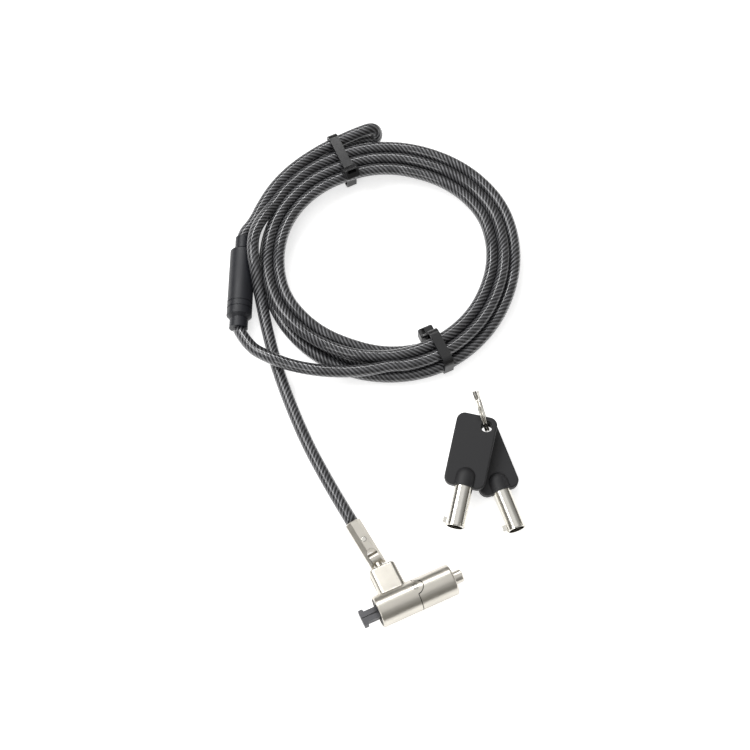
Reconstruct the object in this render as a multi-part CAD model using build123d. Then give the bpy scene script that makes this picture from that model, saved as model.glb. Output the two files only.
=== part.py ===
from build123d import *
from math import asin, atan2, cos, degrees, pi, radians, sin, sqrt, tan

# A keyed cable lock for laptops: a small lock head that grips a 3 x 7 mm security slot, a swivelling
# fork on a plastic-covered steel cable, the cable's anchoring eye, two cable ties round the coiled
# cable, and two tubular keys on a split ring.  Everything lies as it would on a desk.
# Frame: the lock barrel runs along X with its nose towards -X, +Z is up, and the origin is the
# centre of the flat nose face.  Millimetres.

# ---- lock head -------------------------------------------------------------------------------
BARREL_R = 6.2                 # outer radius of both housings
BARREL_LEN = 31.4
BORE_R = 4.5                   # bore that takes the cartridge
SEAM_X = 16.3                  # where the front and rear housings meet, and the cross pin's place
TONGUE_R = 3.05                # round tongue of the front housing, held by the cross pin
TONGUE_TILT = 10.0             # tongue's place round the barrel, degrees from the top towards the boss
CROSS_PIN_R = 1.45
FIT = 0.06                     # running clearance on a radius

BOSS_X0, BOSS_X1 = 3.3, 13.9   # block that carries the swivel
BOSS_TOP = 15.5
BOSS_HALF = 4.4
STUD_X = 8.52                  # where the swivel leaves the boss
STUD_LEAN = 6.0                # degrees towards the nose
STUD_R = 1.4
PIVOT_RISE = 5.0               # boss top to the fork's cross pin

JAW_TIP_X = -6.8
JAW_HOOK_X = -5.1
JAW_HEAD_HALF = 3.3            # closed head is 6.6 mm wide, under the slot's 7 mm
JAW_NECK_HALF = 2.3
JAW_HALF_Z = 1.3               # 2.6 mm thick, under the slot's 3 mm
JAW_TAIL_X = 5.5
JAW_PIVOT_X, JAW_PIVOT_Y = 3.9, 1.5
JAW_PIN_R = 0.42

CARTRIDGE_R = 4.45
CARTRIDGE_BORE_R = 3.88
CORE_R = 3.8                   # rotor and driver shell
POST_R = 2.55                  # centre post, which is also the push button
POST_X0, POST_X1 = 10.0, 35.2
WEDGE_ROD_X = 8.9               # clear of the jaws' tails when the button is pushed
ROTOR_X0, ROTOR_X1 = 22.5, 25.1
SHELL_X0 = 14.4
TUMBLERS = 7
TUMBLER_RING_R = 3.2
TUMBLER_R = 0.38
KEYWAY_R = 3.85
PUSH = 3.2                     # travel of the button
LATCH_X = 15.2
LATCH_R = 0.55

# ---- ferrule and cable -----------------------------------------------------------------------
CABLE_D = 5.0
FERRULE_FLATS = 6.1            # octagonal
FERRULE_END = 16.9             # cable end, from the fork's cross pin
FORK_GAP = 4.0
DRUM_R, DRUM_W = 2.6, 3.8
FORK_PIN_R = 1.0

# ---- the desk and the resting pose -----------------------------------------------------------
DESK_Z = -BARREL_R
FERRULE_Z = DESK_Z + FERRULE_FLATS / 2
PIVOT_Y = BOSS_TOP + PIVOT_RISE
ROLL = degrees(asin(-FERRULE_Z / PIVOT_Y))     # the head rolls until the ferrule lies on the desk

# ---- coiled cable ----------------------------------------------------------------------------
COIL_IN_X, COIL_IN_Y, COIL_R0 = 65.2, 135.3, 40.2      # the opening
COIL_OUT_X, COIL_OUT_Y, COIL_R1 = 66.9, 134.5, 54.3    # the outer turn
COIL_Z0, COIL_Z1 = DESK_Z + 1.1, DESK_Z + 10.6

SLEEVE_START = (-2.4, 131.2)                   # the joiner's lower end
SLEEVE_HEAD = (15.2, 167.6)
SLEEVE_R = 5.2
SLEEVE_Z = DESK_Z + SLEEVE_R
NECK_LEN = 4.2

TIE_X = 68.0
TIE_W, TIE_T = 4.0, 1.0

# Route of the lead, from the ferrule to the coil.
LEAD_ROUTE = [
    (6.207, 37.062, -3.15), (5.1, 47.47, -3.15), (4.1, 60.5, -3.7), (3.4, 75.0, -3.7),
    (3.9, 92.0, -3.7), (5.3, 109.0, -3.7), (7.8, 124.0, -3.6), (10.0, 134.5, -3.0),
    (12.3, 143.0, -2.2),
]
# Route of the tail, from the coil over the lead and down into the joiner.
TAIL_ROUTE = [
    (47.0, 89.3, 1.7), (38.0, 91.0, 1.9), (28.0, 94.6, 2.3), (18.0, 100.0, 2.5),
    (9.6, 106.4, 2.5), (3.0, 113.4, 2.5), (-1.9, 121.8, 0.4), (-2.4, 131.2, -1.0),
]
# Route of the eye's two legs, one above the other: across the desk, then each leg's height.
EYE_LEG = [(21.5, 173.5), (28.0, 179.2), (36.5, 184.6), (46.5, 188.6), (58.0, 191.2), (69.5, 192.2),
           (80.5, 191.7)]
UPPER_LEG_Z = (1.6, 2.0, 2.3, 2.5, 2.6, 2.8, 3.6)
LOWER_LEG_Z = (-3.4, -3.2, -2.9, -2.7, -2.6, -2.6, -2.9)
EYE_TIP = [(90.2, 191.3, 4.3), (90.6, 189.0, -3.5)]

# ---- keys ------------------------------------------------------------------------------------
BOW_W, BOW_L, BOW_T = 16.2, 29.6, 3.6
HOLE_R = 2.35
HOLE_FROM_TOP = 4.0
HOLE_OFFSET = 4.0              # from the hole to the key's axis
TUBE_R, TUBE_BORE_R = 3.7, 3.1
TUBE_OUT = 16.0                # length that stands out of the bow
SOCKET_R = 4.2
SOCKET_DEPTH = 4.0
RING_R, WIRE_R = 8.15, 0.45
RING_PITCH = 0.95
RING_X, RING_Y = 70.87, 56.3
RING_YAW = 10.0                # the ring's plane, degrees from +Y towards +X
RING_LEAN = 9.7                # and from upright
RING_Z = DESK_Z + RING_R * cos(radians(RING_LEAN)) + 1.0


def keep(name, shape):
    """Write one sub-part."""
    export_step(shape, f"parts/{name}.step")


def rod(radius, x0, x1, y=0.0, z=0.0):
    """Round bar along X."""
    return Pos((x0 + x1) / 2, y, z) * Rot(0, 90, 0) * Cylinder(radius, x1 - x0)


def bar(x0, x1, y0, y1, z0, z1):
    """Box between two corners."""
    return Pos((x0 + x1) / 2, (y0 + y1) / 2, (z0 + z1) / 2) * Box(x1 - x0, y1 - y0, z1 - z0)


def group(shapes):
    """Several solids that share one node."""
    return Compound([solid for shape in shapes for solid in shape.solids()])


def rolled(shape):
    """Turn a piece of the lock head into its resting roll."""
    return Rot(-ROLL, 0, 0) * shape


def coil_of_wire(radius, wire, pitch, turns, x0):
    """Helical wire along X."""
    path = Helix(pitch=pitch, height=pitch * turns, radius=radius)
    section = Plane(origin=path @ 0, z_dir=path % 0) * Circle(wire)
    return Pos(x0, 0, 0) * Rot(0, 90, 0) * sweep(section, path=path, is_frenet=True)


def corner_radii(points):
    """Radius at each corner of a cord's route: 0.45 of the shorter run over tan(half the turn)."""
    radii = []
    for before, here, after in zip(points, points[1:], points[2:]):
        run_in, run_out = Vector(*here) - Vector(*before), Vector(*after) - Vector(*here)
        half_turn = radians(run_in.get_angle(run_out)) / 2
        radii.append(0.45 * min(run_in.length, run_out.length) / tan(half_turn))
    return radii


def cord_tube(name, points):
    """Plain tube along straight runs joined by tangent arcs."""
    radii = corner_radii(points)
    path = FilletPolyline(*points, radius=radii)
    tube = sweep(Plane(origin=path @ 0, z_dir=path % 0) * Circle(CABLE_D / 2), path=path)
    print(name, "length", round(path.length, 1), "radii", [round(r, 1) for r in radii])
    print(name, "volume / (section x length)",
          round(tube.volume / (pi * CABLE_D ** 2 / 4 * path.length), 4))
    keep(name, tube)


# ---- lock head -------------------------------------------------------------------------------
def tongue_cut(radius):
    """Round upright column through the top of the barrel, at the cross pin."""
    column = Pos(SEAM_X, 0, BARREL_R) * Cylinder(radius, BARREL_R)
    return Rot(-TONGUE_TILT, 0, 0) * column


def stud_axis(shape):
    """Put a shape drawn along +Z from the fork pin down the swivel's axis."""
    pivot_x = STUD_X - PIVOT_RISE * tan(radians(STUD_LEAN))
    return Pos(pivot_x, PIVOT_Y, 0) * Rot(0, 0, STUD_LEAN) * Rot(90, 0, 0) * shape


def down_stud(radius, near, far):
    """Round bar on the swivel's axis, between two distances below the fork pin."""
    return stud_axis(Pos(0, 0, (near + far) / 2) * Cylinder(radius, far - near))


def boss():
    block = bar(BOSS_X0, BOSS_X1, 2.0, BOSS_TOP, -BOSS_HALF, BOSS_HALF)
    block = fillet(block.edges().filter_by(Axis.Y), 1.9)
    return fillet(block.faces().sort_by(Axis.Y)[-1].edges(), 0.8)


def front_housing():
    tube = rod(BARREL_R, 0, SEAM_X)
    tube = fillet(tube.edges().sort_by(Axis.X)[0], 0.45)
    body = tube + boss()
    root = [e for e in body.edges() if e.geom_type != GeomType.LINE and 2 < e.center().X < 15
            and 2.5 < e.center().Y < 7]
    body = fillet(root, 0.9)
    tongue = (rod(BARREL_R, SEAM_X - 1, SEAM_X + 4)) & tongue_cut(TONGUE_R)
    body += tongue
    body -= rod(BORE_R, 2.0, SEAM_X + 5)
    body -= rod(5.45, -1, 1.0) + rod(3.2, 0.5, 2.5)
    body -= tongue_cut(CROSS_PIN_R)
    body -= down_stud(STUD_R + FIT, 3.0, 8.0) + down_stud(2.75, 7.3, 16.5)
    body -= boss_slot()
    return body


def boss_slot():
    """Narrow slot on the side of the boss that faces the nose."""
    length, width, middle = 6.4, 1.7, 11.6
    slot = Pos(BOSS_X0, middle, 0) * Rot(0, 90, 0) * Rot(0, 0, 90)
    return slot * extrude(SlotOverall(length, width), 1.4, both=True)


def rear_sleeve():
    body = rod(BARREL_R, SEAM_X + FIT, BARREL_LEN)
    body = fillet(body.edges().sort_by(Axis.X)[-1], 0.8)
    body -= rod(BORE_R, SEAM_X - 1, 26.0) + rod(KEYWAY_R, 25, BARREL_LEN + 1)
    body -= Rot(35, 0, 0) * bar(26.5, BARREL_LEN + 1, -1.0, 1.0, 3.0, 5.6)
    return body - tongue_cut(TONGUE_R + 0.12)


def cross_pin():
    shank = tongue_cut(CROSS_PIN_R) & (rod(BARREL_R + 0.08, SEAM_X - 3, SEAM_X + 3)
                                       - rod(BORE_R + 0.02, SEAM_X - 4, SEAM_X + 4))
    return shank


def front_pad():
    return rod(5.4, 0.3, 0.98) - rod(3.25, 0, 2)


def nose_block():
    body = rod(CARTRIDGE_R, 2.05, 5.7) - bar(1, 7, -2.95, 2.95, -1.38, 1.38)
    return body - jaw_pins()


def jaw_pins():
    pin = Pos(JAW_PIVOT_X, JAW_PIVOT_Y, 0) * Cylinder(JAW_PIN_R, 6.0)
    return group([pin, mirror(pin, about=Plane.XZ)])


def jaw(side):
    """One hooked half of the nose; side is +1 towards the boss."""
    outline = Polyline(
        (JAW_TIP_X, 0.12), (JAW_TIP_X, JAW_HEAD_HALF), (JAW_HOOK_X, JAW_HEAD_HALF),
        (JAW_HOOK_X + 0.35, JAW_NECK_HALF), (JAW_TAIL_X, JAW_NECK_HALF), (JAW_TAIL_X, 0.8),
        (JAW_PIVOT_X, 0.68), (-3.9, 0.12), close=True)
    body = extrude(make_face(outline), JAW_HALF_Z, both=True)
    corners = [e for e in body.edges().filter_by(Axis.Z) if e.center().X < -6 and e.center().Y > 1]
    body = fillet(corners, 0.3)
    body -= Pos(JAW_PIVOT_X, JAW_PIVOT_Y, 0) * Cylinder(JAW_PIN_R + FIT, 4)
    return body if side > 0 else mirror(body, about=Plane.XZ)


def wedge_rod():
    """Flat wedge between the jaws, on a round rod that the post pushes."""
    outline = Polyline((-0.6, -0.12), (3.0, -0.56), (WEDGE_ROD_X + 0.5, -0.56), (WEDGE_ROD_X + 0.5, 0.56),
                       (3.0, 0.56), (-0.6, 0.12), close=True)
    return extrude(make_face(outline), 1.15, both=True) + rod(1.2, WEDGE_ROD_X, POST_X0)


def post():
    body = rod(POST_R, POST_X0, POST_X1)
    body = chamfer(body.edges().sort_by(Axis.X)[-1], 0.45)
    return body - rod(1.3, POST_X1 - 0.5, POST_X1 + 1)


def cartridge():
    body = rod(CARTRIDGE_R, 5.8, 25.0) - rod(CARTRIDGE_BORE_R, 6.8, 26) - rod(1.5, 5, 8)
    reach = LATCH_R + 0.2
    return body - bar(LATCH_X - PUSH - reach, LATCH_X + reach, -0.65, 0.65, -6, -3)


def tumbler_holes(x0, x1):
    return [Rot(360 / TUMBLERS * k, 0, 0) * rod(TUMBLER_R + 0.04, x0, x1, 0, TUMBLER_RING_R)
            for k in range(TUMBLERS)]


def driver_shell():
    body = rod(CORE_R, SHELL_X0, ROTOR_X0 - 0.1) - rod(POST_R + 0.03, 10, 30)
    for hole in tumbler_holes(16.2, 23):
        body -= hole
    return body - Pos(LATCH_X, 0, -3.2) * Cylinder(LATCH_R + FIT, 2.4)


def rotor():
    body = rod(CORE_R, ROTOR_X0, ROTOR_X1) - rod(POST_R + FIT, 10, 30)
    for hole in tumbler_holes(22, 26):
        body -= hole
    return body


def tumbler_set(x0, x1):
    """One short pin for each tumbler hole."""
    return group(
        Rot(360 / TUMBLERS * k, 0, 0) * rod(TUMBLER_R, x0, x1, 0, TUMBLER_RING_R)
        for k in range(TUMBLERS))


def tumbler_springs():
    wire = coil_of_wire(0.27, 0.07, 0.42, 6, 16.35)
    return group(
        Rot(360 / TUMBLERS * k, 0, 0) * Pos(0, 0, TUMBLER_RING_R) * wire for k in range(TUMBLERS))


def latch_pin():
    return Pos(LATCH_X, 0, -3.22) * Cylinder(LATCH_R, 1.1)


def swivel_stud():
    drum = stud_axis(Rot(0, 90, 0) * Cylinder(DRUM_R, DRUM_W))
    shank = down_stud(STUD_R, 0, 8.0) + down_stud(2.6, 7.8, 9.4)
    return drum + shank - stud_axis(Rot(0, 90, 0) * Cylinder(FORK_PIN_R + FIT, DRUM_W + 2))


def make_lock_head():
    pieces = {
        "front_housing": front_housing(),
        "rear_sleeve": rear_sleeve(),
        "cross_pin": cross_pin(),
        "front_pad": front_pad(),
        "nose_block": nose_block(),
        "jaw_pins": jaw_pins(),
        "jaw_upper": jaw(1),
        "jaw_lower": jaw(-1),
        "wedge_rod": wedge_rod(),
        "push_post": post(),
        "cartridge": cartridge(),
        "driver_shell": driver_shell(),
        "key_rotor": rotor(),
        "key_pins": tumbler_set(ROTOR_X0 + 0.02, ROTOR_X1 - 0.1),
        "driver_pins": tumbler_set(19.2, ROTOR_X0 - 0.12),
        "tumbler_springs": tumbler_springs(),
        "return_spring": coil_of_wire(3.28, 0.3, 1.0, 3.2, 7.4),
        "latch_pin": latch_pin(),
        "swivel_stud": swivel_stud(),
        "swivel_washer": down_stud(2.65, 7.3, 7.7) - down_stud(STUD_R + FIT, 7, 8),
    }
    for name, shape in pieces.items():
        keep(name, rolled(shape))


# ---- ferrule ---------------------------------------------------------------------------------
def pivot_point():
    """The fork pin's centre in the resting pose."""
    pivot_x = STUD_X - PIVOT_RISE * tan(radians(STUD_LEAN))
    roll = radians(ROLL)
    return pivot_x, PIVOT_Y * cos(roll), -PIVOT_Y * sin(roll)


def ferrule_heading():
    """Degrees from +Y towards -X: the stud's lean seen from above."""
    lean = radians(STUD_LEAN)
    return degrees(atan2(sin(lean), cos(lean) * cos(radians(ROLL))))


def along_ferrule(shape):
    """Place a shape drawn with the fork pin along X and the cable end towards +Y."""
    return Pos(*pivot_point()) * Rot(0, 0, ferrule_heading()) * shape


def bar_y(radius, y0, y1):
    return Pos(0, (y0 + y1) / 2, 0) * Rot(90, 0, 0) * Cylinder(radius, y1 - y0)


def ferrule():
    flat_r = FERRULE_FLATS / 2
    section = Rot(0, 0, 22.5) * RegularPolygon(flat_r, 8, major_radius=False)
    prism = Pos(0, -flat_r, 0) * Rot(-90, 0, 0) * extrude(section, FERRULE_END + flat_r)
    prism = chamfer(prism.faces().sort_by(Axis.Y)[-1].edges(), 0.35)
    rounded = Rot(0, 90, 0) * Cylinder(flat_r, 9) + bar(-5, 5, 0, FERRULE_END, -5, 5)
    body = prism & rounded
    body -= bar(-FORK_GAP / 2, FORK_GAP / 2, -5, 2.0, -5, 5)
    body -= Pos(0, 2.0, 0) * Rot(0, 0, 0) * Cylinder(FORK_GAP / 2, 10)
    body -= Rot(0, 90, 0) * Cylinder(FORK_PIN_R, 9)
    body -= bar_y(CABLE_D / 2, 6.4, FERRULE_END + 1)
    return body - Pos(0, 8.3, 2.5) * Cylinder(1.08, 4)


def make_ferrule():
    keep("ferrule", along_ferrule(ferrule()))
    keep("fork_pin", along_ferrule(Rot(0, 90, 0) * Cylinder(FORK_PIN_R, FERRULE_FLATS - 0.05)))
    keep("cable_end", along_ferrule(bar_y(CABLE_D / 2, 6.4, FERRULE_END)
                                    - Pos(0, 8.3, 2.5) * Cylinder(1.08, 4)))
    rivet = Pos(0, 8.3, 1.95) * Cylinder(1.08, 2.5)
    rivet = fillet(rivet.edges().sort_by(Axis.Z)[-1], 0.3)
    keep("ferrule_rivet", along_ferrule(rivet))


# ---- coil, eye, joiner and ties --------------------------------------------------------------
def make_coil():
    ring = (Pos(COIL_OUT_X, COIL_OUT_Y) * Circle(COIL_R1)) - (Pos(COIL_IN_X, COIL_IN_Y) * Circle(COIL_R0))
    ring = Pos(0, 0, COIL_Z0) * extrude(ring, COIL_Z1 - COIL_Z0)
    keep("cable_coil", fillet(ring.edges().filter_by(GeomType.CIRCLE), 2.4))


def eye_route():
    """From the joiner's head along the coil, round a tight turn and back underneath."""
    x, y = SLEEVE_HEAD
    heading = atan2(y - SLEEVE_START[1], x - SLEEVE_START[0])
    out_x, out_y = x + 2 * cos(heading), y + 2 * sin(heading)
    top_z, low_z = SLEEVE_Z + CABLE_D / 2 + 0.02, SLEEVE_Z - CABLE_D / 2 - 0.02
    upper = [(*spot, z) for spot, z in zip(EYE_LEG, UPPER_LEG_Z)]
    lower = [(*spot, z) for spot, z in zip(EYE_LEG, LOWER_LEG_Z)]
    start = [(x, y, top_z), (out_x, out_y, top_z)]
    return start + upper + EYE_TIP + lower[::-1] + [(out_x, out_y, low_z), (x, y, low_z)]


def along_sleeve(shape):
    """Place a shape drawn along +Y from the joiner's lower end."""
    dx, dy = SLEEVE_HEAD[0] - SLEEVE_START[0], SLEEVE_HEAD[1] - SLEEVE_START[1]
    return Pos(*SLEEVE_START, SLEEVE_Z) * Rot(0, 0, -degrees(atan2(dx, dy))) * shape


def stadium_bar(width, height, y0, y1):
    section = Rot(0, 0, 90) * SlotOverall(height, width)
    return Pos(0, y1, 0) * Rot(90, 0, 0) * extrude(section, y1 - y0)


def make_joiner():
    length = sqrt((SLEEVE_HEAD[0] - SLEEVE_START[0]) ** 2 + (SLEEVE_HEAD[1] - SLEEVE_START[1]) ** 2)
    top = length - NECK_LEN
    body = bar_y(SLEEVE_R, NECK_LEN, top)
    body = chamfer(body.edges().filter_by(GeomType.CIRCLE), 1.3)
    for groove in (NECK_LEN + 4.2, NECK_LEN + 6.8):
        body -= bar_y(SLEEVE_R + 1, groove, groove + 0.5) - bar_y(SLEEVE_R - 0.22, groove - 1, groove + 2)
    body += bar_y(3.8, 0, NECK_LEN + 1) + stadium_bar(6.4, 2 * SLEEVE_R, top - 1, length)
    core = stadium_bar(6.0, 9.0, 13.5, 27.0)
    keep("joiner_sleeve", along_sleeve(body - core))
    keep("cable_crimp", along_sleeve(core))


def strap(y0, y1, z0, z1):
    """Closed band round the bundle."""
    width, height = y1 - y0, z1 - z0
    hole = RectangleRounded(width, height, 2.2)
    band = RectangleRounded(width + 2 * TIE_T, height + 2 * TIE_T, 2.2 + TIE_T) - hole
    ring = extrude(Plane.YZ * band, TIE_W / 2, both=True)
    return Pos(TIE_X, (y0 + y1) / 2, (z0 + z1) / 2) * ring


def make_ties():
    under = COIL_Z0 - 0.05
    keep("tie_top_strap", strap(COIL_IN_Y + COIL_R0 - 0.3, 195.3, under, 5.6))
    keep("tie_bottom_strap", strap(COIL_OUT_Y - COIL_R1 - 0.1, COIL_IN_Y - COIL_R0 + 0.3, under,
                                   COIL_Z1 + 0.1))
    top = Pos(TIE_X - 0.6, 174.25, 7.75) * Rot(45, 0, 0)
    head = fillet(Box(6.4, 4.4, 6.0).edges(), 0.8) - Pos(0, 1.0, 0) * Box(3.6, 1.4, 8)
    keep("tie_top_head", top * head)
    low = Pos(TIE_X - 1.2, 98.0, DESK_Z + 3.1)
    block = fillet(Box(6.4, 4.4, 6.0).edges(), 0.8) - Pos(-1.4, 0, 0) * Box(1.4, 3.2, 8)
    keep("tie_bottom_head", low * block)


# ---- keys ------------------------------------------------------------------------------------
def ring_frame():
    return Pos(RING_X, RING_Y, RING_Z) * Rot(0, 0, -RING_YAW) * Rot(0, -RING_LEAN, 0)


def key_frame(height, inset, heading, pitch):
    """Frame of a key: origin at its hole, tube towards -Y, hung on the ring at a height.

    The hole's centre lies just inside the wire's circle, where the ring crosses the bow."""
    spot = ring_frame() * Pos(0, -(RING_R - inset), height)
    point = spot.position
    return Pos(point.X, point.Y, point.Z) * Rot(0, 0, heading) * Rot(pitch, 0, 0)


def key_bow():
    low_y = HOLE_FROM_TOP - BOW_L
    plate = Pos(-HOLE_OFFSET, HOLE_FROM_TOP - BOW_L / 2, 0) * Box(BOW_W, BOW_L, BOW_T)
    plate = fillet(plate.edges().filter_by(Axis.Z), 3.3)
    plate = fillet(plate.faces().sort_by(Axis.Z)[-1].edges() + plate.faces().sort_by(Axis.Z)[0].edges(), 0.7)
    step = bar(-HOLE_OFFSET - BOW_W, -HOLE_OFFSET + 0.6, low_y + 9, HOLE_FROM_TOP + 1, BOW_T / 2 - 0.14, 5)
    plate -= step
    socket_top = low_y + SOCKET_DEPTH
    plate += Pos(-HOLE_OFFSET, 0, 0) * (bar_y(SOCKET_R, low_y + 0.1, socket_top)
                                         + Pos(0, socket_top, 0) * Sphere(SOCKET_R))
    plate -= Pos(-HOLE_OFFSET, 0, 0) * bar_y(TUBE_R, low_y - 1, socket_top)
    return plate - Cylinder(HOLE_R, 10)


def key_tube():
    low_y = HOLE_FROM_TOP - BOW_L
    tip = low_y - TUBE_OUT
    body = bar_y(TUBE_R, tip, low_y + SOCKET_DEPTH)
    body = chamfer(body.edges().sort_by(Axis.Y)[0], 0.2)
    body -= bar_y(TUBE_BORE_R, tip - 1, low_y + 1)
    for k, depth in enumerate((1.4, 0.7, 1.8, 1.0, 1.5, 0.6, 1.2)):
        cut = bar(-0.5, 0.5, tip - 1, tip + depth, TUBE_R - 0.32, TUBE_R + 1)
        body -= Rot(0, 360 / TUMBLERS * (k + 0.5), 0) * cut
    lug = bar(-TUBE_R - 1.5, -TUBE_R + 0.4, tip + 0.7, tip + 3.1, -0.85, 0.85)
    lug = fillet(lug.edges().sort_by(Axis.X)[0:4], 0.25)
    return Pos(-HOLE_OFFSET, 0, 0) * (body + lug)


KEY_POSES = {
    # height of the hole on the ring, its distance inside the wire's circle, heading (the tube's
    # direction from -Y, negative towards -X), pitch
    "key_b": (DESK_Z + 5.05 - RING_Z, 0.9, -4.8, 1.8),     # rests on its dome and its tip
    "key_a": (DESK_Z + 11.7 - RING_Z, -0.05, -37.3, 5.0),
}


def make_keys():
    for name, (height, inset, heading, pitch) in KEY_POSES.items():
        frame = key_frame(height, inset, heading, pitch)
        keep(name + "_bow", frame * key_bow())
        keep(name + "_tube", frame * key_tube())
        print(name, "hole", frame.position, "heading", heading, "pitch", pitch)
    wire = Helix(pitch=RING_PITCH, height=2 * RING_PITCH, radius=RING_R)
    turn = sweep(Plane(origin=wire @ 0, z_dir=wire % 0) * Circle(WIRE_R), path=wire, is_frenet=True)
    keep("split_ring", ring_frame() * Rot(0, 90, 0) * Rot(0, 0, 90) * Pos(0, 0, -RING_PITCH) * turn)


make_lock_head()
make_ferrule()
make_coil()
cord_tube("cable_lead", LEAD_ROUTE)
cord_tube("cable_tail", TAIL_ROUTE)
cord_tube("cable_eye", eye_route())
make_joiner()
make_ties()
make_keys()
print("roll", round(ROLL, 3), "pivot", [round(v, 3) for v in pivot_point()], "heading",
      round(ferrule_heading(), 3))
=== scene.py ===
"""A keyed laptop cable lock lying on a desk: lock head, coiled cable with its eye, ties and keys.

Everything is in metres in the row frame: the nose points to -X, +Z is up, and the origin is the
centre of the nose face.  The CAD nodes keep their shapes and get materials; the cable is rebuilt as
one smooth cord, with a second cord for the eye.
"""
from math import atan2, cos, pi, radians, sin

import bpy
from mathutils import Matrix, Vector


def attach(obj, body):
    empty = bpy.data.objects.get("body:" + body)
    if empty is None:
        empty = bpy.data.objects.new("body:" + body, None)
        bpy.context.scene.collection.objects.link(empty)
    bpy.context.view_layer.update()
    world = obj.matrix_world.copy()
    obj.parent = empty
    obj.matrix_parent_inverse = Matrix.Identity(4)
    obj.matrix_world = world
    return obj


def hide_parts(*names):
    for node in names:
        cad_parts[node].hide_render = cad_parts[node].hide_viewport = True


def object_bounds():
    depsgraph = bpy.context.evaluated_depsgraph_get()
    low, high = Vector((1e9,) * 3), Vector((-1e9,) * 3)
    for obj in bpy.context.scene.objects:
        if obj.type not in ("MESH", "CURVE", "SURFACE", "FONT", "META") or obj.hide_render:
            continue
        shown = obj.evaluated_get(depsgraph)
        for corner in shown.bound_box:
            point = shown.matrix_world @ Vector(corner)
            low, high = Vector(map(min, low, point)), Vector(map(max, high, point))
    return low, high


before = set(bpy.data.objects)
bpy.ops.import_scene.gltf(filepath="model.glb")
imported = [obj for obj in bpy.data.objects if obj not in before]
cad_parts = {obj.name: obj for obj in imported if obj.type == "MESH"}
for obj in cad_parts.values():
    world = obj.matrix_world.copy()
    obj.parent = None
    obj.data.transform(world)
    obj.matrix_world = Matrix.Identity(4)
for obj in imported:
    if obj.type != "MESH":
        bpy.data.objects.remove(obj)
cad_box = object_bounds()

MM = 0.001
CABLE_D = 5 * MM

# ---- camera ----------------------------------------------------------------------------------
CAMERA_PLACE = (-0.0619, -0.1326, 0.5741)
CAMERA_DOWN = 67.0          # degrees below level
CAMERA_HEADING = 24.6       # degrees from +Y towards +X
CAMERA_LENS = 74.5          # mm, on a sensor 36 mm wide

# ---- joint between the two housings ----------------------------------------------------------
SEAM_X, SEAM_W = 16.3 * MM, 0.32 * MM
TONGUE_R = 3.1 * MM                    # round end of the front housing's tongue
SEAM_COLOUR = (0.05, 0.047, 0.042, 1)

# ---- floor -----------------------------------------------------------------------------------
FLOOR_HALF, FLOOR_GLOW = 3.0, 0.60

# ---- cable -----------------------------------------------------------------------------------
WIRES, WIRE_SPACING = 8, 1.95          # wires round the cable, mm along it from wire to wire
COIL_X, COIL_Y = 66.0, 135.5           # mm
TURN_STEP = 15                         # degrees between the points of a turn
# From the ferrule along the desk, and up over the joiner's shoulder, in metres.
LEAD_ROUTE = [
    (0.006207, 0.037062, -0.00315), (0.0051, 0.04747, -0.00315), (0.0041, 0.0605, -0.0037),
    (0.0034, 0.0750, -0.0037), (0.0039, 0.0920, -0.0037), (0.0053, 0.1090, -0.0037),
    (0.0078, 0.1240, -0.0036), (0.0100, 0.1345, -0.0030), (0.0119, 0.1430, -0.0006),
    (0.0138, 0.1508, 0.0040), (0.0157, 0.1584, 0.0058), (0.0196, 0.1660, 0.0056),
    (0.0258, 0.1716, 0.0046), (0.0339, 0.1766, 0.0030),
]
# From the coil over the lead and down into the joiner, in metres.
TAIL_ROUTE = [
    (0.0470, 0.0893, 0.0019), (0.0380, 0.0910, 0.0025), (0.0280, 0.0946, 0.0025),
    (0.0180, 0.1000, 0.0025), (0.0096, 0.1064, 0.0025), (0.0030, 0.1134, 0.0025),
    (-0.0019, 0.1218, 0.0004), (-0.0024, 0.1312, -0.0010),
]
# Where each turn lies in the bundle, (radius, height) in mm, at angles that go clockwise.
# The last turn ends before the last two angles.
BUNDLE = {
    135: [(52.2, 3.0), (50.5, -2.6), (45.5, -2.6), (43.9, 1.75), (48.9, 1.75)],
    90: [(51.4, 1.75), (48.5, -2.6), (43.5, -2.6), (41.0, 1.75), (46.2, 1.75)],
    45: [(51.6, 1.75), (48.8, -2.6), (43.8, -2.6), (41.0, 1.75), (46.4, 1.75)],
    0: [(53.7, 1.6), (51.2, -2.6), (46.2, -2.6), (44.2, 1.75), (48.9, 2.2)],
    -45: [(52.8, -0.3), (48.4, -2.6), (43.4, -2.6), (43.4, 2.35), (48.3, 2.4)],
    -90: [(53.4, -2.6), (48.3, -2.6), (43.2, -2.6), (44.4, 1.75), (49.8, 1.75)],
    -135: [(52.5, -2.6), (47.5, -2.6), (42.2, -0.3), (47.3, 2.4), (51.0, 1.75)],
    -180: [(50.8, -2.6), (45.8, -2.6), (45.2, 1.75), (50.0, 1.75)],
    -225: [(50.5, -2.6), (45.5, -2.6), (43.9, 1.75), (48.9, 1.75)],
}
TABLE_STEP, TABLE_START = 45, 135       # degrees
FIRST_ANGLE, LAST_ANGLE = 120, -105 - 4 * 360

# The eye's two legs, one above the other, in mm: across the desk, then each leg's heights.
JOINER_START, JOINER_HEAD, JOINER_Z = (-2.4, 131.2), (15.2, 167.6), -1.0
LEG_RISE, LEG_OUT = 2.52, 2             # a leg's height from the joiner's axis, straight part
EYE_LEG = [(22.2, 172.6), (28.7, 178.6), (36.8, 184.4), (46.5, 188.8), (58.0, 191.7), (69.0, 193.0),
           (78.5, 193.0)]
UPPER_LEG_Z = (1.6, 2.0, 2.3, 2.5, 2.6, 2.8, 3.6)
LOWER_LEG_Z = (-3.4, -3.2, -2.9, -2.7, -2.6, -2.6, -2.9)
EYE_TIP = [(87.0, 192.3, 4.3), (87.3, 190.0, -3.5)]


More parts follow.
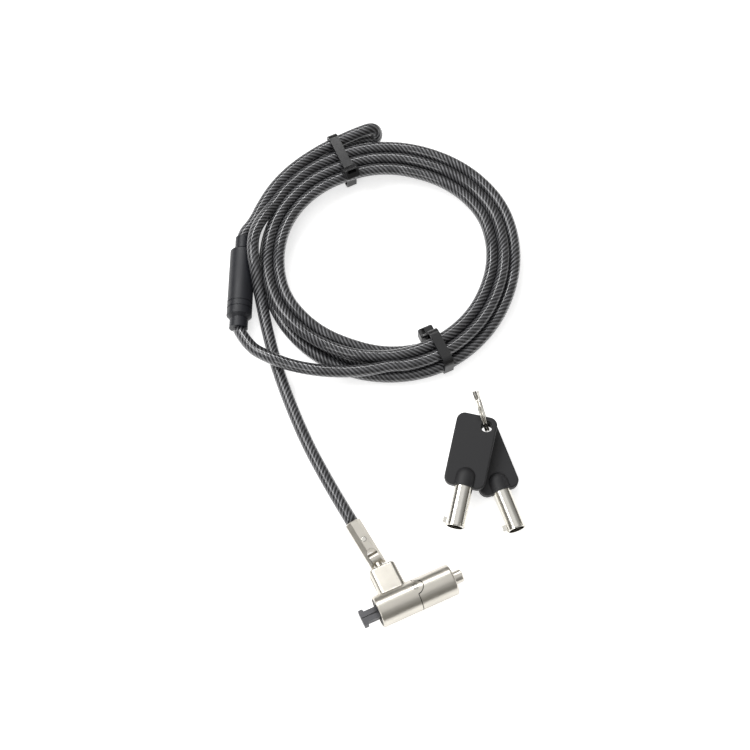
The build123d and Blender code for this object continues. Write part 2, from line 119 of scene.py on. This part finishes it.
# ---- materials -------------------------------------------------------------------------------
def new_material(name, **values):
    """A principled material, with values set on its own sockets."""
    material = bpy.data.materials.new(name)
    material.use_nodes = True
    shader = material.node_tree.nodes["Principled BSDF"]
    for socket, value in values.items():
        shader.inputs[socket.replace("_", " ")].default_value = value
    return material, material.node_tree.nodes, material.node_tree.links, shader


def add(nodes, kind, **inputs):
    node = nodes.new(kind)
    for socket, value in inputs.items():
        node.inputs[socket.replace("_", " ")].default_value = value
    return node


def math_node(nodes, links, operation, a, b=None):
    node = nodes.new("ShaderNodeMath")
    node.operation = operation
    for k, value in enumerate((a, b)):
        if value is None:
            continue
        if isinstance(value, (int, float)):
            node.inputs[k].default_value = value
        else:
            links.new(value, node.inputs[k])
    return node.outputs[0]


def ramp(nodes, links, factor, stops):
    """Colour ramp from (place, grey or colour) stops."""
    node = nodes.new("ShaderNodeValToRGB")
    while len(node.color_ramp.elements) < len(stops):
        node.color_ramp.elements.new(0.5)
    for element, (place, colour) in zip(node.color_ramp.elements, stops):
        element.position = place
        if isinstance(colour, (int, float)):
            colour = (colour, colour, colour)
        element.color = (*colour, 1)
    links.new(factor, node.inputs[0])
    return node.outputs[0]


def bump(nodes, links, height, distance, strength=1.0):
    node = add(nodes, "ShaderNodeBump", Strength=strength, Distance=distance)
    links.new(height, node.inputs["Height"])
    return node.outputs[0]


def noise(nodes, links, scale, detail=3.0, vector=None, coordinate="Object"):
    node = add(nodes, "ShaderNodeTexNoise", Scale=scale, Detail=detail)
    if vector is None:
        vector = nodes.new("ShaderNodeTexCoord").outputs[coordinate]
    links.new(vector, node.inputs["Vector"])
    return node.outputs[0]


def stretched(nodes, links, scale):
    """Object coordinates, scaled by (x, y, z) so that a noise turns into brush lines."""
    node = nodes.new("ShaderNodeMapping")
    node.inputs["Scale"].default_value = scale
    links.new(nodes.new("ShaderNodeTexCoord").outputs["Object"], node.inputs["Vector"])
    return node.outputs[0]


def satin_metal(name, light, dark, roughness, brush=(300, 2500, 2500), grain=0.00002):
    """Plated metal: two close tones, fine brush lines and slightly uneven gloss."""
    material, nodes, links, shader = new_material(name, Metallic=1.0)
    tone = noise(nodes, links, 90.0)
    links.new(ramp(nodes, links, tone, [(0.3, dark), (0.7, light)]), shader.inputs["Base Color"])
    lines = noise(nodes, links, 1.0, 2.0, stretched(nodes, links, brush))
    low, high = roughness
    links.new(ramp(nodes, links, lines, [(0.3, low), (0.7, high)]), shader.inputs["Roughness"])
    links.new(bump(nodes, links, lines, grain, 0.5), shader.inputs["Normal"])
    return material


def moulded(name, colour, roughness, grain_scale, grain):
    """Moulded plastic: a fine spark-eroded grain and slightly rubbed gloss."""
    material, nodes, links, shader = new_material(name)
    patches = noise(nodes, links, 60.0, 4.0)
    darker = tuple(0.82 * c for c in colour)
    links.new(ramp(nodes, links, patches, [(0.35, darker), (0.65, colour)]),
              shader.inputs["Base Color"])
    low, high = roughness
    links.new(ramp(nodes, links, patches, [(0.3, low), (0.7, high)]), shader.inputs["Roughness"])
    fine = noise(nodes, links, grain_scale, 2.0)
    links.new(bump(nodes, links, fine, grain), shader.inputs["Normal"])
    return material


def cable_jacket(name):
    """Helical steel wires seen through a clear glossy jacket, with painted shade near black between
    the wires and a painted highlight lighter on each wire's crest.

    UV: u is the length along the cable in mm, and v is the turn round it."""
    material, nodes, links, shader = new_material(
        name, Metallic=0.35, Coat_Weight=1.0, Coat_Roughness=0.09, Coat_IOR=1.5)
    uv = nodes.new("ShaderNodeUVMap")
    uv.uv_map = "cable"
    split = nodes.new("ShaderNodeSeparateXYZ")
    links.new(uv.outputs[0], split.inputs[0])
    along, around = split.outputs[0], split.outputs[1]
    turn = math_node(nodes, links, "MULTIPLY", around, WIRES)
    place = math_node(nodes, links, "DIVIDE", along, WIRE_SPACING)
    wire = math_node(nodes, links, "FRACT", math_node(nodes, links, "SUBTRACT", turn, place))
    centred = math_node(nodes, links, "SUBTRACT", math_node(nodes, links, "MULTIPLY", wire, 2), 1)
    crown = math_node(nodes, links, "SUBTRACT", 1,
                      math_node(nodes, links, "MULTIPLY", centred, centred))
    patches = noise(nodes, links, 220.0, 3.0)
    # The wire's crest profile times random patches: painted shade between the wires, a painted
    # lighter crest, and uneven tone from the patches.
    painted_groove_shade_and_patches = math_node(nodes, links, "MULTIPLY", crown,
                       math_node(nodes, links, "ADD",
                                 math_node(nodes, links, "MULTIPLY", patches, 0.5), 0.72))
    # Base colour: painted shade near black in the grooves between wires, rising to a painted
    # highlight on the crests.
    links.new(ramp(nodes, links, painted_groove_shade_and_patches, [
        (0.0, (0.002, 0.002, 0.003)), (0.45, (0.008, 0.008, 0.010)), (0.8, (0.052, 0.053, 0.058)),
        (1.0, (0.17, 0.17, 0.18))]), shader.inputs["Base Color"])
    links.new(ramp(nodes, links, crown, [(0.0, 0.6), (1.0, 0.34)]), shader.inputs["Roughness"])
    links.new(bump(nodes, links, crown, 0.00035), shader.inputs["Normal"])
    return material


def seamed(material):
    """Draw the dark joint between the two housings, and round the tongue's end."""
    nodes, links = material.node_tree.nodes, material.node_tree.links
    shader = nodes["Principled BSDF"]
    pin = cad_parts["cross_pin"].data.vertices
    middle = sum((v.co for v in pin), Vector()) / len(pin)
    outward = Vector((0, middle.y, middle.z)).normalized()
    sideways = Vector((1, 0, 0)).cross(outward)
    place = nodes.new("ShaderNodeTexCoord").outputs["Object"]

    def along(direction):
        node = nodes.new("ShaderNodeVectorMath")
        node.operation = "DOT_PRODUCT"
        links.new(place, node.inputs[0])
        node.inputs[1].default_value = direction
        return node.outputs["Value"]

    def near(value, target):
        distance = math_node(nodes, links, "ABSOLUTE",
                             math_node(nodes, links, "SUBTRACT", value, target))
        return math_node(nodes, links, "LESS_THAN", distance, SEAM_W / 2)

    x, across, out = along((1, 0, 0)), along(sideways), along(outward)
    dx = math_node(nodes, links, "SUBTRACT", x, SEAM_X)
    from_pin = math_node(nodes, links, "SQRT", math_node(
        nodes, links, "ADD", math_node(nodes, links, "MULTIPLY", dx, dx),
        math_node(nodes, links, "MULTIPLY", across, across)))
    facing = math_node(nodes, links, "GREATER_THAN", out, 0.0)
    inside = math_node(nodes, links, "MULTIPLY", facing,
                       math_node(nodes, links, "LESS_THAN", from_pin, TONGUE_R))
    line = math_node(nodes, links, "MULTIPLY", near(x, SEAM_X),
                     math_node(nodes, links, "SUBTRACT", 1, inside))
    behind = math_node(nodes, links, "GREATER_THAN", x, SEAM_X)
    ring = math_node(nodes, links, "MULTIPLY", near(from_pin, TONGUE_R),
                     math_node(nodes, links, "MULTIPLY", facing, behind))
    dark = math_node(nodes, links, "MAXIMUM", line, ring)
    mix = nodes.new("ShaderNodeMix")
    mix.data_type = "RGBA"
    links.new(dark, mix.inputs[0])
    links.new(shader.inputs["Base Color"].links[0].from_socket, mix.inputs[6])
    mix.inputs[7].default_value = SEAM_COLOUR
    links.new(mix.outputs[2], shader.inputs["Base Color"])
    return material


def assign(material, *names):
    """Give CAD nodes one material."""
    for name in names:
        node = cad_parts[name]
        node.data.materials.clear()
        node.data.materials.append(material)


# ---- cords -----------------------------------------------------------------------------------
def smooth_line(points):
    """The points of an order-3 NURBS spline that has these points as its control points."""
    curve = bpy.data.curves.new("route", "CURVE")
    curve.dimensions = "3D"
    curve.resolution_u = 8
    spline = curve.splines.new("NURBS")
    spline.points.add(len(points) - 1)
    for point, place in zip(spline.points, points):
        point.co = (*place, 1)
    spline.order_u = 3
    spline.use_endpoint_u = True
    carrier = bpy.data.objects.new("route", curve)
    bpy.context.collection.objects.link(carrier)
    mesh = bpy.data.meshes.new_from_object(carrier)
    line = [v.co.copy() for v in mesh.vertices]
    bpy.data.objects.remove(carrier)
    bpy.data.curves.remove(curve)
    bpy.data.meshes.remove(mesh)
    return line


def tube(name, line, radius, around=24):
    """Round tube along a line, with UVs in mm along it and turns round it."""
    verts, faces, lengths = [], [], [0.0]
    tangents = [(b - a).normalized() for a, b in zip(line, line[1:])]
    tangents.append(tangents[-1])
    side = tangents[0].cross(Vector((0, 0, 1))).normalized()
    for k, (place, tangent) in enumerate(zip(line, tangents)):
        if k:
            lengths.append(lengths[-1] + (place - line[k - 1]).length)
            side = (side - tangent * side.dot(tangent)).normalized()
        other = tangent.cross(side)
        for j in range(around):
            a = 2 * pi * j / around
            verts.append(place + radius * (cos(a) * side + sin(a) * other))
    for k in range(len(line) - 1):
        for j in range(around):
            nxt = (j + 1) % around
            faces.append((k * around + j, k * around + nxt,
                          (k + 1) * around + nxt, (k + 1) * around + j))
    faces.append(tuple(reversed(range(around))))
    faces.append(tuple(range((len(line) - 1) * around, len(line) * around)))
    mesh = bpy.data.meshes.new(name)
    mesh.from_pydata(verts, [], faces)
    uv = mesh.uv_layers.new(name="cable")
    for face in mesh.polygons[:-2]:
        k, j = divmod(face.index, around)
        corners = [(k, j), (k, j + 1), (k + 1, j + 1), (k + 1, j)]
        for loop, (ring, step) in zip(face.loop_indices, corners):
            uv.data[loop].uv = (lengths[ring] / MM, step / around)
    mesh.shade_smooth()
    obj = bpy.data.objects.new(name, mesh)
    bpy.context.collection.objects.link(obj)
    return obj


def around_coil(radius, angle, z):
    a = radians(angle)
    return Vector((COIL_X + radius * cos(a), COIL_Y + radius * sin(a), z)) * MM


def coil_points():
    """The turns of the coil, clockwise, from the bundle's table."""
    stretch = 1 / cos(radians(TURN_STEP / 2))      # the spline runs inside its control points
    points = []
    for angle in range(FIRST_ANGLE, LAST_ANGLE - 1, -TURN_STEP):
        turns_done, past_start = divmod(TABLE_START - angle, 360)
        steps, past_step = divmod(past_start, TABLE_STEP)
        high, part = TABLE_START - TABLE_STEP * steps, past_step / TABLE_STEP
        (r0, z0), (r1, z1) = BUNDLE[high][turns_done], BUNDLE[high - TABLE_STEP][turns_done]
        points.append(around_coil((r0 + (r1 - r0) * part) * stretch, angle, z0 + (z1 - z0) * part))
    return points


def eye_points():
    """From the joiner's head along the coil, round a tight turn and back underneath."""
    x, y = JOINER_HEAD
    heading = atan2(y - JOINER_START[1], x - JOINER_START[0])
    out_x, out_y = x + LEG_OUT * cos(heading), y + LEG_OUT * sin(heading)
    top, low = JOINER_Z + LEG_RISE, JOINER_Z - LEG_RISE
    upper = [(*spot, z) for spot, z in zip(EYE_LEG, UPPER_LEG_Z)]
    lower = [(*spot, z) for spot, z in zip(EYE_LEG, LOWER_LEG_Z)]
    route = [(x, y, top), (out_x, out_y, top), *upper, *EYE_TIP, *lower[::-1],
             (out_x, out_y, low), (x, y, low)]
    return [Vector(place) * MM for place in route]


# ---- camera, light and floor -----------------------------------------------------------------
def place_camera():
    data = bpy.data.cameras.new("camera")
    data.lens, data.sensor_width = CAMERA_LENS, 36
    camera = bpy.data.objects.new("camera", data)
    camera.location = CAMERA_PLACE
    camera.rotation_euler = (radians(90 - CAMERA_DOWN), 0, radians(-CAMERA_HEADING))
    bpy.context.collection.objects.link(camera)
    bpy.context.scene.camera = camera


def area_light(name, place, target, size, power, colour=(1, 1, 1)):
    data = bpy.data.lights.new(name, "AREA")
    data.shape, data.size, data.size_y = "RECTANGLE", size[0], size[1]
    data.energy, data.color = power, colour
    light = bpy.data.objects.new(name, data)
    light.location = place
    light.rotation_euler = (Vector(target) - Vector(place)).to_track_quat("-Z", "Y").to_euler()
    bpy.context.collection.objects.link(light)


def studio():
    """Bright overhead, darker and warmer near the horizon, with a strip and two panels."""
    world = bpy.data.worlds.new("studio")
    world.use_nodes = True
    nodes, links = world.node_tree.nodes, world.node_tree.links
    direction = nodes.new("ShaderNodeTexCoord").outputs["Generated"]
    split = nodes.new("ShaderNodeSeparateXYZ")
    links.new(direction, split.inputs[0])
    sky = ramp(nodes, links, split.outputs[2], [
        (0.0, (0.10, 0.094, 0.082)), (0.25, (0.14, 0.132, 0.118)), (0.6, (0.32, 0.315, 0.305)),
        (0.84, (0.46, 0.46, 0.455)), (0.95, (0.9, 0.9, 0.9))])
    links.new(sky, nodes["Background"].inputs["Color"])
    nodes["Background"].inputs["Strength"].default_value = 1.0
    bpy.context.scene.world = world
    bpy.context.scene.view_settings.view_transform = "Standard"
    area_light("strip", (0.12, 0.62, 0.60), (0.05, 0.10, 0), (0.45, 0.07), 1.6)
    area_light("key", (-0.34, 0.42, 0.60), (0.04, 0.08, 0), (0.45, 0.35), 2.6)
    area_light("fill", (-0.45, -0.25, 0.45), (0.03, 0.06, 0), (0.30, 0.30), 1.0)


def floor():
    """White desk top; its faint glow keeps the shadows as pale as in daylight from all round."""
    mesh = bpy.data.meshes.new("floor")
    half, floor_z = FLOOR_HALF, cad_box[0][2]
    mesh.from_pydata([(-half, -half, floor_z), (half, -half, floor_z), (half, half, floor_z),
                      (-half, half, floor_z)], [], [(0, 1, 2, 3)])
    obj = bpy.data.objects.new("floor", mesh)
    bpy.context.collection.objects.link(obj)
    material, nodes, links, shader = new_material("floor", Roughness=0.6)
    shader.inputs["Base Color"].default_value = (0.93, 0.93, 0.93, 1)
    shader.inputs["Emission Color"].default_value = (1, 1, 1, 1)
    shader.inputs["Emission Strength"].default_value = FLOOR_GLOW
    obj.data.materials.append(material)


# ---- the scene -------------------------------------------------------------------------------
place_camera()

jacket = cable_jacket("cable_jacket")
main_line = smooth_line(LEAD_ROUTE + coil_points() + TAIL_ROUTE)
main_cable = tube("cable", main_line, CABLE_D / 2)
main_cable.data.materials.append(jacket)
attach(main_cable, "anchored_cable")
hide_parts("cable_lead", "cable_coil", "cable_tail")

eye_line = smooth_line(eye_points())
eye_cable = tube("cable_loop", eye_line, CABLE_D / 2)
eye_cable.data.materials.append(jacket)
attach(eye_cable, "anchored_cable")
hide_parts("cable_eye")

nickel = satin_metal("satin_nickel", (0.68, 0.65, 0.585), (0.61, 0.58, 0.52), (0.28, 0.38))
barrel = seamed(
    satin_metal("barrel_nickel", (0.68, 0.65, 0.585), (0.61, 0.58, 0.52), (0.28, 0.38)))
bright = satin_metal("bright_nickel", (0.78, 0.76, 0.70), (0.72, 0.70, 0.65), (0.12, 0.20))
steel = satin_metal("dark_steel", (0.125, 0.125, 0.13), (0.095, 0.095, 0.10), (0.35, 0.50))
springs = satin_metal("spring_steel", (0.55, 0.55, 0.56), (0.48, 0.48, 0.49), (0.25, 0.35))
brass = satin_metal("brass", (0.80, 0.62, 0.30), (0.74, 0.56, 0.26), (0.25, 0.40))
pad = moulded("face_pad", (0.012, 0.012, 0.014), (0.40, 0.55), 4000.0, 0.00003)
sleeve = moulded("sleeve_plastic", (0.012, 0.013, 0.018), (0.38, 0.50), 2500.0, 0.00003)
bow = moulded("bow_plastic", (0.018, 0.018, 0.020), (0.52, 0.66), 3000.0, 0.00004)
nylon = moulded("tie_nylon", (0.004, 0.004, 0.005), (0.30, 0.42), 2500.0, 0.00002)
assign(barrel, "front_housing", "rear_sleeve")
assign(nickel, "push_post", "swivel_stud", "ferrule")
assign(bright, "cross_pin", "fork_pin", "ferrule_rivet", "key_a_tube", "key_b_tube", "split_ring")
assign(steel, "jaw_upper", "jaw_lower", "wedge_rod", "nose_block", "jaw_pins")
assign(springs, "return_spring", "tumbler_springs", "latch_pin", "swivel_washer", "cable_end",
       "cable_crimp")
assign(brass, "cartridge", "driver_shell", "key_rotor", "key_pins", "driver_pins")
assign(pad, "front_pad")
assign(sleeve, "joiner_sleeve")
assign(bow, "key_a_bow", "key_b_bow")
assign(nylon, "tie_top_strap", "tie_top_head", "tie_bottom_strap", "tie_bottom_head")

studio()
floor()
